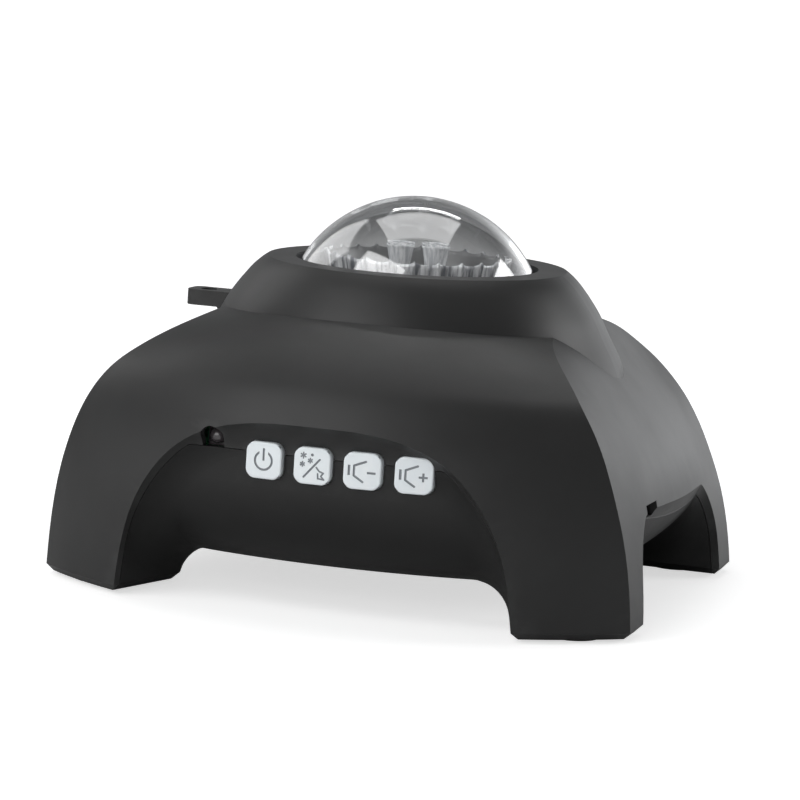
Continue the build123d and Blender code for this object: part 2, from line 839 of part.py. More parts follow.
def leds():
    """Four lights, one under each cup."""
    low = led_board_low + led_board_thickness
    lights = None
    for x, y in cup_places():
        half = led_size / 2
        light = block(x - half, x + half, y - half, y + half, low, low + led_height)
        lights = light if lights is None else lights + light
    return lights


def collimator_lens():
    """The clear lens on the tower: a flange with four flared cups."""
    foot = led_board_low + led_board_thickness + led_height + led_gap
    lens = rod(lens_flange, tower_top, tower_top + lens_plate) + rod(tower_bore - 0.2, foot, tower_top)
    for x, y in cup_places():
        rise = cup_height - tower_top
        cone = Pos(x, y, tower_top) * Cone(cup_foot_radius, cup_top_radius, rise, align=LOW)
        lens = lens + cone
    for x, y in cup_places():
        rise = cup_height - tower_top - 4
        bore = Cone(cup_foot_radius - 0.6, cup_top_radius - cup_wall, rise, align=LOW)
        bore = Pos(x, y, tower_top + 4) * bore
        lens = lens - bore
    return lens


def thrust_washer():
    """The slip washer under the crown's gear."""
    return tube(sleeve_outer, sleeve_bore, washer_level, washer_level + washer_thickness)


def toothed(teeth, low, high):
    """A spur wheel with straight-flanked teeth, one tooth centred on +X."""
    radius = gear_module * teeth / 2
    root = radius - 1.25 * gear_module
    tip = radius + 0.9 * gear_module
    points = []
    for k in range(teeth):
        middle = 2 * pi * k / teeth
        for r, half in ((root, 0.40), (radius, 0.31), (tip, 0.14),
                        (tip, -0.14), (radius, -0.31), (root, -0.40)):
            angle = middle - half / r
            points.append((r * cos(angle), r * sin(angle)))
    face = make_face(Polyline(*points, close=True))
    return Pos(0, 0, low) * extrude(face, amount=high - low)


def crown_gear():
    """The ring gear and sleeve that turn the crown round the tower."""
    gear = toothed(gear_teeth, gear_level, gear_level + gear_thickness)
    gear = gear + rod(sleeve_outer, sleeve_low, sleeve_top)
    return gear - rod(sleeve_bore, sleeve_low - 1, sleeve_top + 1)


def ripple_crown():
    """The clear fluted crown that throws the ripple pattern."""
    foot = gear_level + gear_thickness
    bore = sleeve_outer + 0.05
    t = crown_wall
    form = turned([(bore, foot), (17.2, foot), (19.5, foot + 3.2), (crown_radius - crown_taper, foot + 6.4),
                   (crown_radius, crown_top), (crown_radius - t, crown_top),
                   (crown_radius - crown_taper - t, foot + 7.4), (18.6, foot + 4.8),
                    (16.6, foot + 2.5), (bore, foot + 2.5)])
    flutes = None
    for k in range(crown_flutes):
        x, y = on_circle(crown_radius + flute_out, 360 * k / crown_flutes)
        flute = rod(flute_radius, foot + 5, crown_top + 1, x, y)
        flutes = flute if flutes is None else flutes + flute
    return form - flutes


def motor_can():
    """The small drive motor under the deck."""
    low = deck_level - motor_height
    can = rod(motor_radius, low, deck_level, 0, drive_distance)
    can = fillet(can.edges().sort_by(Axis.Z)[0], 1.5)
    can = can + rod(motor_boss, deck_level - 0.5, deck_top - 0.4, 0, drive_distance)
    can = can - rod(shaft_radius + running_gap, low + 3, deck_top + 1, 0, drive_distance)
    for x in (-motor_screw_reach, motor_screw_reach):
        low = deck_level - motor_screw_depth - 1
        can = can - rod(motor_screw_shank + running_gap, low, deck_level + 1, x, drive_distance)
    return can


def motor_screws():
    """Two screws through the deck into the motor."""
    screws = None
    for x in (-motor_screw_reach, motor_screw_reach):
        screw = rod(motor_screw_head, deck_top, deck_top + small_screw_head, x, drive_distance)
        low = deck_level - motor_screw_depth
        screw = screw + rod(motor_screw_shank, low, deck_top + 0.5, x, drive_distance)
        screws = screw if screws is None else screws + screw
    return screws


def motor_shaft():
    """The motor's shaft."""
    low = deck_level - motor_height + 3.3
    return rod(shaft_radius, low, gear_level + gear_thickness + 0.9, 0, drive_distance)


def motor_pinion():
    """The pinion in mesh with the crown's gear."""
    wheel = toothed(pinion_teeth, gear_level - 0.4, gear_level + gear_thickness + 0.4)
    wheel = wheel + rod(3.0, gear_level - 3, gear_level)
    wheel = wheel - rod(shaft_radius, gear_level - 4, gear_level + gear_thickness + 2)
    return Pos(0, drive_distance, 0) * wheel


def laser_holder():
    """The clamp ring of the star laser."""
    bore = laser_radius + running_gap
    return tube(holder_radius, bore, deck_top, deck_top + holder_height, laser_x, laser_y)


def laser_module():
    """The star laser."""
    return rod(laser_radius, deck_top, deck_top + laser_height, laser_x, laser_y)


def star_grating():
    """The grating cap that splits the laser into stars."""
    low = deck_top + laser_height
    return rod(laser_radius + 0.4, low, low + grating_thickness, laser_x, laser_y)


# ---------------------------------------------------------------- speaker, boards and port
def speaker_gasket():
    """The felt ring under the speaker."""
    return tube(speaker_radius, grille_radius, floor_top, floor_top + speaker_felt, 0, speaker_y)


def speaker_frame():
    """The speaker's pressed basket."""
    low = floor_top + speaker_felt
    top = low + speaker_basket
    basket = turned([(grille_radius + 0.4, low), (speaker_radius, low),
                     (speaker_radius, low + speaker_flange),
                     (18.0, low + speaker_flange), (12.0, top), (7.0, top), (7.0, top - 1),
                     (11.4, top - 1), (grille_radius + 0.4, low + 1.6)])
    return Pos(0, speaker_y, 0) * basket


def speaker_cone():
    """The speaker's paper cone and dust cap."""
    low = floor_top + 2 * speaker_felt
    cone = turned([(0, low + 3.2), (4.5, low + 2.2), (15.6, low), (15.8, low + 0.6),
                   (6.2, low + 4.4), (6.2, low + 5.0),
                   (5.0, low + 5.0), (0, low + 4.0)])
    return Pos(0, speaker_y, 0) * cone


def speaker_magnet():
    """The speaker's magnet."""
    low = floor_top + speaker_felt + speaker_basket
    return fillet(rod(magnet_radius, low, low + magnet_height, 0, speaker_y).edges().sort_by(Axis.Z)[-1], 0.8)


def main_board():
    """The main circuit board."""
    upper = board_level + board_thickness
    board = block(-board_half_x, board_half_x, board_front, board_back, board_level, upper)
    for x, y in board_places():
        board = board - rod(board_clearance, board_level - 1, board_level + 4, x, y)
    return board


def board_parts():
    """The chips, a capacitor and a connector on the main board."""
    top = board_level + board_thickness
    parts = block(-8, 4, -36, -24, top, top + 1.8)
    parts = parts + block(12, 18, -38, -30, top, top + 1.6)
    parts = parts + rod(4.0, top, top + 8, -18, -14)
    parts = parts + rod(2.5, top, top + 6, 20, -12)
    parts = parts + block(-5, 5, -6, 0, top, top + 4)
    return parts


def board_screws():
    """Four screws that hold the main board."""
    top = board_level + board_thickness
    screws = None
    for x, y in board_places():
        screw = rod(2.2, top, top + small_screw_head, x, y)
        screw = screw + rod(small_screw_shank, board_level - board_pilot_depth + 1, top + 0.5, x, y)
        screws = screw if screws is None else screws + screw
    return screws


def port_board():
    """The small board that carries the power socket."""
    wall_x = side_wall(port_y)
    top = port_board_level() + board_thickness
    inner = wall_x - socket_depth - 12
    return block(inner, wall_x - 2 * wall, port_y - 8, port_y + 8, port_board_level(), top)


def usb_socket():
    """The power socket behind the pocket in the right side."""
    end = side_wall(port_y) - port_recess - 0.6
    shell = extrude(RectangleRounded(socket_height, socket_width, 1.4), amount=socket_depth)
    hollow = RectangleRounded(socket_height - 0.7, socket_width - 0.7, 1.1)
    hollow = extrude(hollow, amount=socket_depth - 1.5)
    tongue = extrude(Rectangle(0.7, socket_width - 2.4), amount=socket_depth - 1)
    form = (shell - Pos(0, 0, 1.5) * hollow) + tongue
    return Pos(end - socket_depth, port_y, port_level) * Rot(0, 90, 0) * form


# ---------------------------------------------------------------- fasteners and feet
def case_screws():
    """Four screws up through the leg ends."""
    screws = None
    for x, y in leg_places():
        low = pad_thickness
        screw = rod(head_radius, low, low + head_height, x, y)
        screw = screw + rod(shank_radius, low, leg_floor_top + case_screw_reach, x, y)
        screws = screw if screws is None else screws + screw
    return screws


def column_screws():
    """Four screws up through the belly into the deck's columns."""
    screws = None
    for x, y in four(column_x, column_y):
        low = belly_bottom + 0.2
        screw = rod(head_radius, low, low + head_height, x, y)
        screw = screw + rod(shank_radius, low, column_foot() + column_screw_reach, x, y)
        screws = screw if screws is None else screws + screw
    return screws


def foot_pad(x, y):
    """A soft pad in the end of a leg."""
    return fillet(rod(pad_radius, 0, pad_thickness, x, y).edges().sort_by(Axis.Z)[0], 0.3)


# ---------------------------------------------------------------- write the pieces
case_body, top_blank, bottom_blank = case_shells()
pieces = {
    "top_shell": top_shell_details(case_body, top_blank),
    "bottom_shell": bottom_shell_details(case_body, bottom_blank),
    "dome_lens": dome_lens(),
    "dome_gasket": dome_gasket(),
    "lens_retainer": lens_retainer(),
    "light_baffle": light_baffle(),
    "retainer_screws": retainer_screws(),
    "optics_deck": optics_deck(),
    "lens_tower": lens_tower(),
    "tower_screws": tower_screws(),
    "heat_slug": heat_slug(),
    "led_board": led_board(),
    "leds": leds(),
    "collimator_lens": collimator_lens(),
    "thrust_washer": thrust_washer(),
    "crown_gear": crown_gear(),
    "ripple_crown": ripple_crown(),
    "motor_can": motor_can(),
    "motor_screws": motor_screws(),
    "motor_shaft": motor_shaft(),
    "motor_pinion": motor_pinion(),
    "laser_holder": laser_holder(),
    "laser_module": laser_module(),
    "star_grating": star_grating(),
    "speaker_gasket": speaker_gasket(),
    "speaker_frame": speaker_frame(),
    "speaker_cone": speaker_cone(),
    "speaker_magnet": speaker_magnet(),
    "main_board": main_board(),
    "board_parts": board_parts(),
    "board_screws": board_screws(),
    "port_board": port_board(),
    "usb_socket": usb_socket(),
    "key_board": key_board(),
    "key_board_screws": key_board_screws(),
    "switch_housings": switch_housings(),
    "ir_receiver": ir_receiver(),
    "key_ribbon": key_ribbon(),
    "case_screws": case_screws(),
    "column_screws": column_screws(),
}
for name, x in key_places.items():
    pieces["key_" + name] = key(name, x)
    pieces["plunger_" + name] = switch_plunger(x)
for (x, y), place in zip(leg_places(), ("front_left", "rear_left", "front_right", "rear_right")):
    pieces["foot_pad_" + place] = foot_pad(x, y)
for name, piece in pieces.items():
    export_step(piece, "parts/" + name + ".step")
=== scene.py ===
import json
from math import cos, pi, radians, sin, sqrt

import bmesh
import bpy
from mathutils import Matrix, Vector


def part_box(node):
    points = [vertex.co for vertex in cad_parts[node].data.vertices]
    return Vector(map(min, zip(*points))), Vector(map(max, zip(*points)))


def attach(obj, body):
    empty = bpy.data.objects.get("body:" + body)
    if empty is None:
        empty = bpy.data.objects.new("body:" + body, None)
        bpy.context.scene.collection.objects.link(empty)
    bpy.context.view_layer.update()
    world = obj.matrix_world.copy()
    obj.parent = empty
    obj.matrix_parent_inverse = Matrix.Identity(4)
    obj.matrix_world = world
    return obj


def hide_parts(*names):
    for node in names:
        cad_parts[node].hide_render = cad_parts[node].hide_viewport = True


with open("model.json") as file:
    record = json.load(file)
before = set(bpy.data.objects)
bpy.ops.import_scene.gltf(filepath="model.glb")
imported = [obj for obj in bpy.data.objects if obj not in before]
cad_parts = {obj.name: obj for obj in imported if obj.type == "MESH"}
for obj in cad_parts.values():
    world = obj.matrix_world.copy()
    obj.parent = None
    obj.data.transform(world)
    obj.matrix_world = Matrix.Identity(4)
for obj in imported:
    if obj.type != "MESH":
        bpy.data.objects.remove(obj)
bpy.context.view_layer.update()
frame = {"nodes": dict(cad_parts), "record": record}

MM = 0.001
FLOAT, COLOUR = "NodeSocketFloat", "NodeSocketColor"
WHITE = (1.0, 1.0, 1.0, 1.0)
scene = bpy.context.scene


# ---------------------------------------------------------------- shader building
class Sheet:
    """A node tree with short calls for adding nodes and joining them."""

    def __init__(self, tree):
        self.tree = tree

    def add(self, kind, inputs=None, **settings):
        """A new node with its settings and inputs."""
        node = self.tree.nodes.new(kind)
        for name, value in settings.items():
            setattr(node, name, value)
        for name, value in (inputs or {}).items():
            self.feed(node.inputs[name], value)
        return node

    def feed(self, socket, value):
        """Joins another node's output to a socket, or sets the socket to a number or colour."""
        if isinstance(value, bpy.types.NodeSocket):
            self.tree.links.new(value, socket)
        else:
            socket.default_value = value

    def maths(self, operation, *values):
        """The result of a Math node."""
        node = self.add("ShaderNodeMath", operation=operation)
        for socket, value in zip(node.inputs, values):
            self.feed(socket, value)
        return node.outputs[0]

    def times(self, product, *others):
        """The product of two or more values."""
        for other in others:
            product = self.maths("MULTIPLY", product, other)
        return product

    def plus(self, one, other):
        """The sum of two values."""
        return self.maths("ADD", one, other)

    def place(self):
        """A point's place in the object's own coordinates."""
        return self.add("ShaderNodeTexCoord").outputs["Object"]

    def axes(self, vector):
        """The X, Y and Z of a vector."""
        return self.add("ShaderNodeSeparateXYZ", {"Vector": vector}).outputs

    def ramp(self, value, low, high, to_low=0.0, to_high=1.0):
        """value between low and high, turned smoothly into to_low and to_high."""
        inputs = {"Value": value, "From Min": low, "From Max": high, "To Min": to_low, "To Max": to_high}
        return self.add("ShaderNodeMapRange", inputs, interpolation_type="SMOOTHSTEP").outputs["Result"]

    def noise(self, place, scale, detail=2.0, roughness=0.5):
        """A noise value at a place."""
        inputs = {"Vector": place, "Scale": scale, "Detail": detail, "Roughness": roughness}
        return self.add("ShaderNodeTexNoise", inputs).outputs["Fac"]

    def mix(self, mask, under, over):
        """The colour under where the mask is 0, the colour over where it is 1."""
        inputs = {"Factor": mask, "A": under, "B": over}
        return self.add("ShaderNodeMix", inputs, data_type="RGBA").outputs["Result"]

    def group(self, tree, **values):
        """The outputs of a shader group that is used with these values."""
        node = self.add("ShaderNodeGroup", node_tree=tree)
        for name, value in values.items():
            self.feed(node.inputs[name.replace("_", " ").capitalize()], value)
        return node.outputs


def effect(name, inputs, outputs):
    """A new shader group: its sheet, its input node's outputs and its output node's inputs."""
    tree = bpy.data.node_groups.new(name, "ShaderNodeTree")
    for socket, kind, value in inputs:
        made = tree.interface.new_socket(name=socket, in_out="INPUT", socket_type=kind)
        made.default_value = value
    for socket, kind in outputs:
        tree.interface.new_socket(name=socket, in_out="OUTPUT", socket_type=kind)
    sheet = Sheet(tree)
    return sheet, sheet.add("NodeGroupInput").outputs, sheet.add("NodeGroupOutput").inputs


def make_mould_texture():
    """The fine spark-eroded texture of a moulded face, and broad unevenness of its shine."""
    inputs = [("Grain", FLOAT, 2500.0), ("Shine low", FLOAT, 0.4), ("Shine high", FLOAT, 0.5)]
    sheet, given, out = effect("mould_texture", inputs, [("Height", FLOAT), ("Roughness", FLOAT)])
    place = sheet.place()
    fine_share, coarse_share, coarse_scale = 0.7, 0.3, 0.31
    fine = sheet.noise(place, given["Grain"], detail=3.0, roughness=0.6)
    coarse = sheet.noise(place, sheet.times(given["Grain"], coarse_scale), detail=1.0)
    sheet.feed(out["Height"], sheet.plus(sheet.times(fine, fine_share), sheet.times(coarse, coarse_share)))
    broad = sheet.noise(place, scale=18.0, detail=4.0, roughness=0.6)
    sheet.feed(out["Roughness"], sheet.ramp(broad, 0.3, 0.7, given["Shine low"], given["Shine high"]))
    return sheet.tree


def make_edge_wear_and_highlight():
    """A mask along the outer edges, broken up as handling leaves it: partly rubbed wear, partly a painted
    highlight along the ridges.
    """
    inputs = [("Amount", FLOAT, 0.3), ("Start", FLOAT, 0.52)]
    sheet, given, out = effect("edge_wear_and_highlight", inputs, [("Mask", FLOAT)])
    sharpness = sheet.add("ShaderNodeNewGeometry").outputs["Pointiness"]
    edge_width = 0.08
    edge = sheet.ramp(sharpness, given["Start"], sheet.plus(given["Start"], edge_width))
    patchy = sheet.ramp(sheet.noise(sheet.place(), scale=160.0, detail=4.0, roughness=0.65), 0.35, 0.65)
    sheet.feed(out["Mask"], sheet.times(edge, patchy, given["Amount"]))
    return sheet.tree


def make_settled_dust():
    """A faint mask on faces that look up."""
    inputs = [("Amount", FLOAT, 0.1), ("Scale", FLOAT, 60.0)]
    sheet, given, out = effect("settled_dust", inputs, [("Mask", FLOAT)])
    place = sheet.place()
    cloud_share, speck_share, speck_scale = 0.6, 0.4, 40.0
    cloud = sheet.ramp(sheet.noise(place, given["Scale"], detail=5.0, roughness=0.7), 0.35, 0.75)
    speckle = sheet.noise(place, sheet.times(given["Scale"], speck_scale), detail=1.0)
    specks = sheet.ramp(speckle, 0.68, 0.74)
    lying = sheet.plus(sheet.times(cloud, cloud_share), sheet.times(specks, speck_share))
    up = sheet.axes(sheet.add("ShaderNodeNewGeometry").outputs["Normal"])["Z"]
    sheet.feed(out["Mask"], sheet.times(sheet.ramp(up, 0.2, 0.95), lying, given["Amount"]))
    return sheet.tree


def make_colour_drift():
    """A slow drift between two near colours."""
    inputs = [("One", COLOUR, (0.5, 0.5, 0.5, 1)), ("Other", COLOUR, (0.6, 0.6, 0.6, 1)),
              ("Scale", FLOAT, 30.0)]
    sheet, given, out = effect("colour_drift", inputs, [("Colour", COLOUR)])
    drift = sheet.ramp(sheet.noise(sheet.place(), given["Scale"], detail=4.0, roughness=0.6), 0.3, 0.7)
    sheet.feed(out["Colour"], sheet.mix(drift, given["One"], given["Other"]))
    return sheet.tree


# The keys' bowed front and the area of their signs, in metres
front_radius, axis_behind, key_pitch, key_level = 0.172, 0.0853, 0.0141, 0.043
sign_half_width, sign_half_height = 0.00475, 0.00445
paint_from, paint_full, paint_until = 0.00003, 0.00022, 0.0009


def make_key_sign():
    """The mask of the engraved signs: a point behind the keys' bowed front, near a key's middle."""
    inputs = [("Front radius", FLOAT, front_radius), ("Axis behind", FLOAT, axis_behind),
              ("Pitch", FLOAT, key_pitch), ("Level", FLOAT, key_level)]
    sheet, given, out = effect("key_sign", inputs, [("Mask", FLOAT)])
    place = sheet.axes(sheet.place())
    back = sheet.maths("SUBTRACT", place["Y"], given["Axis behind"])
    squares = sheet.plus(sheet.times(place["X"], place["X"]), sheet.times(back, back))
    depth = sheet.maths("SUBTRACT", given["Front radius"], sheet.maths("SQRT", squares))
    half = sheet.times(given["Pitch"], 0.5)
    from_key = sheet.maths("WRAP", place["X"], half, sheet.times(half, -1.0))
    beside = sheet.maths("LESS_THAN", sheet.maths("ABSOLUTE", from_key), sign_half_width)
    from_level = sheet.maths("SUBTRACT", place["Z"], given["Level"])
    above = sheet.maths("LESS_THAN", sheet.maths("ABSOLUTE", from_level), sign_half_height)
    deep = sheet.ramp(depth, paint_from, paint_full)
    cut = sheet.times(deep, sheet.maths("LESS_THAN", depth, paint_until))
    sheet.feed(out["Mask"], sheet.times(sheet.times(beside, above), cut))
    return sheet.tree


def make_brush_lines_and_painted_streaks():
    """Fine lines: round the upright axis where Across is the larger scale, upright where Along is; real
    brushing on metal, painted reflection streaks on the crown and cups.
    """
    inputs = [("Along", FLOAT, 60.0), ("Across", FLOAT, 6000.0)]
    sheet, given, out = effect("brush_lines_and_painted_streaks", inputs, [("Height", FLOAT), ("Mask", FLOAT)])
    place = sheet.axes(sheet.place())
    stretched = sheet.add("ShaderNodeCombineXYZ", {
        "X": sheet.times(place["X"], given["Along"]),
        "Y": sheet.times(place["Y"], given["Along"]),
        "Z": sheet.times(place["Z"], given["Across"])}).outputs[0]
    lines = sheet.noise(stretched, scale=1.0, detail=3.0, roughness=0.6)
    sheet.feed(out["Height"], lines)
    sheet.feed(out["Mask"], sheet.ramp(lines, 0.35, 0.65))
    return sheet.tree


def make_copper_tracks():
    """Tracks and pads that show through a board's coating."""
    sheet, given, out = effect("copper_tracks", [("Pitch", FLOAT, 0.003)], [("Mask", FLOAT), ("Pads", FLOAT)])
    place = sheet.place()
    scale = sheet.maths("DIVIDE", 1.0, given["Pitch"])
    cells = sheet.add("ShaderNodeTexVoronoi", {"Vector": place, "Scale": scale, "Randomness": 0.75},
                      feature="DISTANCE_TO_EDGE").outputs["Distance"]
    dots = sheet.add("ShaderNodeTexVoronoi", {"Vector": place, "Scale": sheet.times(scale, 1.3),
                                              "Randomness": 0.3}).outputs["Distance"]
    sheet.feed(out["Mask"], sheet.ramp(cells, 0.05, 0.09, to_low=1.0, to_high=0.0))
    sheet.feed(out["Pads"], sheet.ramp(dots, 0.14, 0.18, to_low=1.0, to_high=0.0))
    return sheet.tree


mould_texture = make_mould_texture()
edge_wear_and_highlight = make_edge_wear_and_highlight()
settled_dust = make_settled_dust()
colour_drift = make_colour_drift()
key_sign = make_key_sign()
brush_lines_and_painted_streaks = make_brush_lines_and_painted_streaks()
copper_tracks = make_copper_tracks()


# ---------------------------------------------------------------- materials
# How far the bumps of each kind of surface stand out, in metres
MOULD_BUMP, METAL_BUMP, FELT_BUMP, RIPPLE_BUMP = 0.00005, 0.00003, 0.0002, 0.0006
KEY_BUMP, TRACK_BUMP = 0.00004, 0.00005


def grey(value, blue=1.0):
    """A near-neutral colour."""
    return (value, value, value * blue, 1.0)


def scaled(colour, factor):
    """A colour made darker or lighter."""
    return tuple(c * factor for c in colour[:3]) + (1.0,)


def new_material(name, **sockets):
    """A material, its sheet and its Principled shader, with the shader's own sockets set."""
    material = bpy.data.materials.new(name)
    material.use_nodes = True
    sheet = Sheet(material.node_tree)
    shader = material.node_tree.nodes["Principled BSDF"]
    for socket, value in sockets.items():
        shader.inputs[socket.replace("_", " ")].default_value = value
    return material, sheet, shader.inputs


def bump(sheet, height, strength, distance):
    """A Bump node's normal."""
    inputs = {"Height": height, "Strength": strength, "Distance": distance}
    return sheet.add("ShaderNodeBump", inputs).outputs["Normal"]


def moulded(name, colour, other, shine, grain=2500.0, relief=0.25, dust=0.0, rub_and_highlight=0.0, rub_and_highlight_colour=None,
            **sockets):
    """Moulded plastic: two near colours, a fine texture, uneven shine, edges lightened as rubbed wear and
    painted highlight, and a little dust.
    """
    material, sheet, shader = new_material(name, **sockets)
    surface = sheet.group(mould_texture, Grain=grain, Shine_low=shine[0], Shine_high=shine[1])
    base = sheet.group(colour_drift, One=colour, Other=other, Scale=25.0)["Colour"]
    # Lighter edges: partly rubbed wear, partly a painted edge highlight.
    if rub_and_highlight:
        base = sheet.mix(sheet.group(edge_wear_and_highlight, Amount=rub_and_highlight, Start=0.53)["Mask"], base, rub_and_highlight_colour)
    if dust:
        base = sheet.mix(sheet.group(settled_dust, Amount=dust, Scale=60.0)["Mask"], base, grey(0.42))
    sheet.feed(shader["Base Color"], base)
    sheet.feed(shader["Roughness"], surface["Roughness"])
    sheet.feed(shader["Normal"], bump(sheet, surface["Height"], relief, MOULD_BUMP))
    return material


def metal(name, colour, shine):
    """Bare metal with fine lines round the upright axis."""
    material, sheet, shader = new_material(name, Metallic=1.0)
    lines = sheet.group(brush_lines_and_painted_streaks, Along=60.0, Across=6000.0)
    sheet.feed(shader["Base Color"], sheet.mix(lines["Mask"], colour, scaled(colour, 0.8)))
    sheet.feed(shader["Roughness"], sheet.ramp(lines["Height"], 0.3, 0.7, shine[0], shine[1]))
    sheet.feed(shader["Normal"], bump(sheet, lines["Height"], 0.15, METAL_BUMP))
    return material


def clear(name, colour, shine, ior, waves=0.0, **sockets):
    """Clear plastic that lets light through to what it covers."""
    material, sheet, shader = new_material(name, Transmission_Weight=1.0, IOR=ior, Base_Color=colour,
                                           **sockets)
    place = sheet.place()
    wear = sheet.noise(place, scale=45.0, detail=5.0, roughness=0.7)
    sheet.feed(shader["Roughness"], sheet.ramp(wear, 0.4, 0.8, shine[0], shine[1]))
    if waves:
        ripples = sheet.noise(place, scale=220.0, detail=1.0)
        sheet.feed(shader["Normal"], bump(sheet, ripples, waves, RIPPLE_BUMP))
    through = sheet.add("ShaderNodeBsdfTransparent", {"Color": (0.93, 0.94, 0.95, 1.0)}).outputs[0]
    shadow = sheet.add("ShaderNodeLightPath").outputs["Is Shadow Ray"]
    both = sheet.add("ShaderNodeMixShader", {"Fac": shadow})
    nodes = material.node_tree.nodes
    sheet.feed(both.inputs[1], nodes["Principled BSDF"].outputs[0])
    sheet.feed(both.inputs[2], through)
    sheet.feed(nodes["Material Output"].inputs["Surface"], both.outputs[0])
    return material


def reflection_streaked(name, bright, dark, along, relief, **sockets):
    """Silvery moulding whose bright and dark upright streaks are painted reflections in its colour."""
    material, sheet, shader = new_material(name, **sockets)
    reflection_streaks = sheet.group(brush_lines_and_painted_streaks, Along=along, Across=50.0)
    # Painted reflections: the streak mask swaps the colour between bright and dark.
    sheet.feed(shader["Base Color"], sheet.mix(reflection_streaks["Mask"], bright, dark))
    sheet.feed(shader["Roughness"], sheet.ramp(reflection_streaks["Height"], 0.3, 0.7, to_low=0.06, to_high=0.2))
    sheet.feed(shader["Normal"], bump(sheet, reflection_streaks["Height"], relief, RIPPLE_BUMP))
    return material


def make_key_plastic():
    """Pale grey keys whose engraved signs are filled with grey paint."""
    material, sheet, shader = new_material("key_plastic", Specular_IOR_Level=0.45)
    surface = sheet.group(mould_texture, Grain=3200.0, Shine_low=0.38, Shine_high=0.46)
    pale, paler = (0.80, 0.85, 0.88, 1), (0.84, 0.89, 0.91, 1)
    worn, paint = (0.9, 0.92, 0.93, 1), (0.24, 0.26, 0.28, 1)
    base = sheet.group(colour_drift, One=pale, Other=paler, Scale=40.0)["Colour"]
    rubbed = sheet.mix(sheet.group(edge_wear_and_highlight, Amount=0.4, Start=0.52)["Mask"], base, worn)
    sign = sheet.group(key_sign, Front_radius=front_radius, Axis_behind=axis_behind,
                       Pitch=key_pitch, Level=key_level)
    sheet.feed(shader["Base Color"], sheet.mix(sign["Mask"], rubbed, paint))
    sheet.feed(shader["Roughness"], surface["Roughness"])
    sheet.feed(shader["Normal"], bump(sheet, surface["Height"], 0.12, KEY_BUMP))
    return material


def make_circuit_board():
    """Green coated board with tracks and tinned pads."""
    material, sheet, shader = new_material("circuit_board", Specular_IOR_Level=0.6)
    dark_green, light_green, tin = (0.02, 0.16, 0.07, 1), (0.05, 0.28, 0.12, 1), (0.7, 0.68, 0.6, 1)
    tracks = sheet.group(copper_tracks, Pitch=0.003)
    green = sheet.mix(tracks["Mask"], dark_green, light_green)
    sheet.feed(shader["Base Color"], sheet.mix(tracks["Pads"], green, tin))
    sheet.feed(shader["Metallic"], sheet.times(tracks["Pads"], 0.8))
    sheet.feed(shader["Roughness"], sheet.ramp(tracks["Mask"], 0.0, 1.0, to_low=0.38, to_high=0.3))
    sheet.feed(shader["Normal"], bump(sheet, tracks["Mask"], 0.3, TRACK_BUMP))
    return material


def make_felt(name, colour, grain):
    """Felt or pressed paper: a soft fibre tangle."""
    material, sheet, shader = new_material(name, Roughness=0.95, Specular_IOR_Level=0.15)
    fibres = sheet.noise(sheet.place(), grain, detail=6.0, roughness=0.75)
    sheet.feed(shader["Base Color"], sheet.mix(sheet.ramp(fibres, 0.35, 0.7), colour, scaled(colour, 1.9)))
    sheet.feed(shader["Normal"], bump(sheet, fibres, 0.8, FELT_BUMP))
    return material


def make_light_chip():
    """Light chips with a yellow, grainy potting."""
    material, sheet, shader = new_material("light_chip", Specular_IOR_Level=0.6)
    deep_yellow, pale_yellow = (0.9, 0.72, 0.2, 1), (0.95, 0.82, 0.35, 1)
    grainy = sheet.noise(sheet.place(), scale=3000.0, detail=3.0, roughness=0.6)
    sheet.feed(shader["Base Color"], sheet.mix(sheet.ramp(grainy, 0.3, 0.7), deep_yellow, pale_yellow))
    sheet.feed(shader["Roughness"], sheet.ramp(grainy, 0.3, 0.7, to_low=0.2, to_high=0.35))
    return material


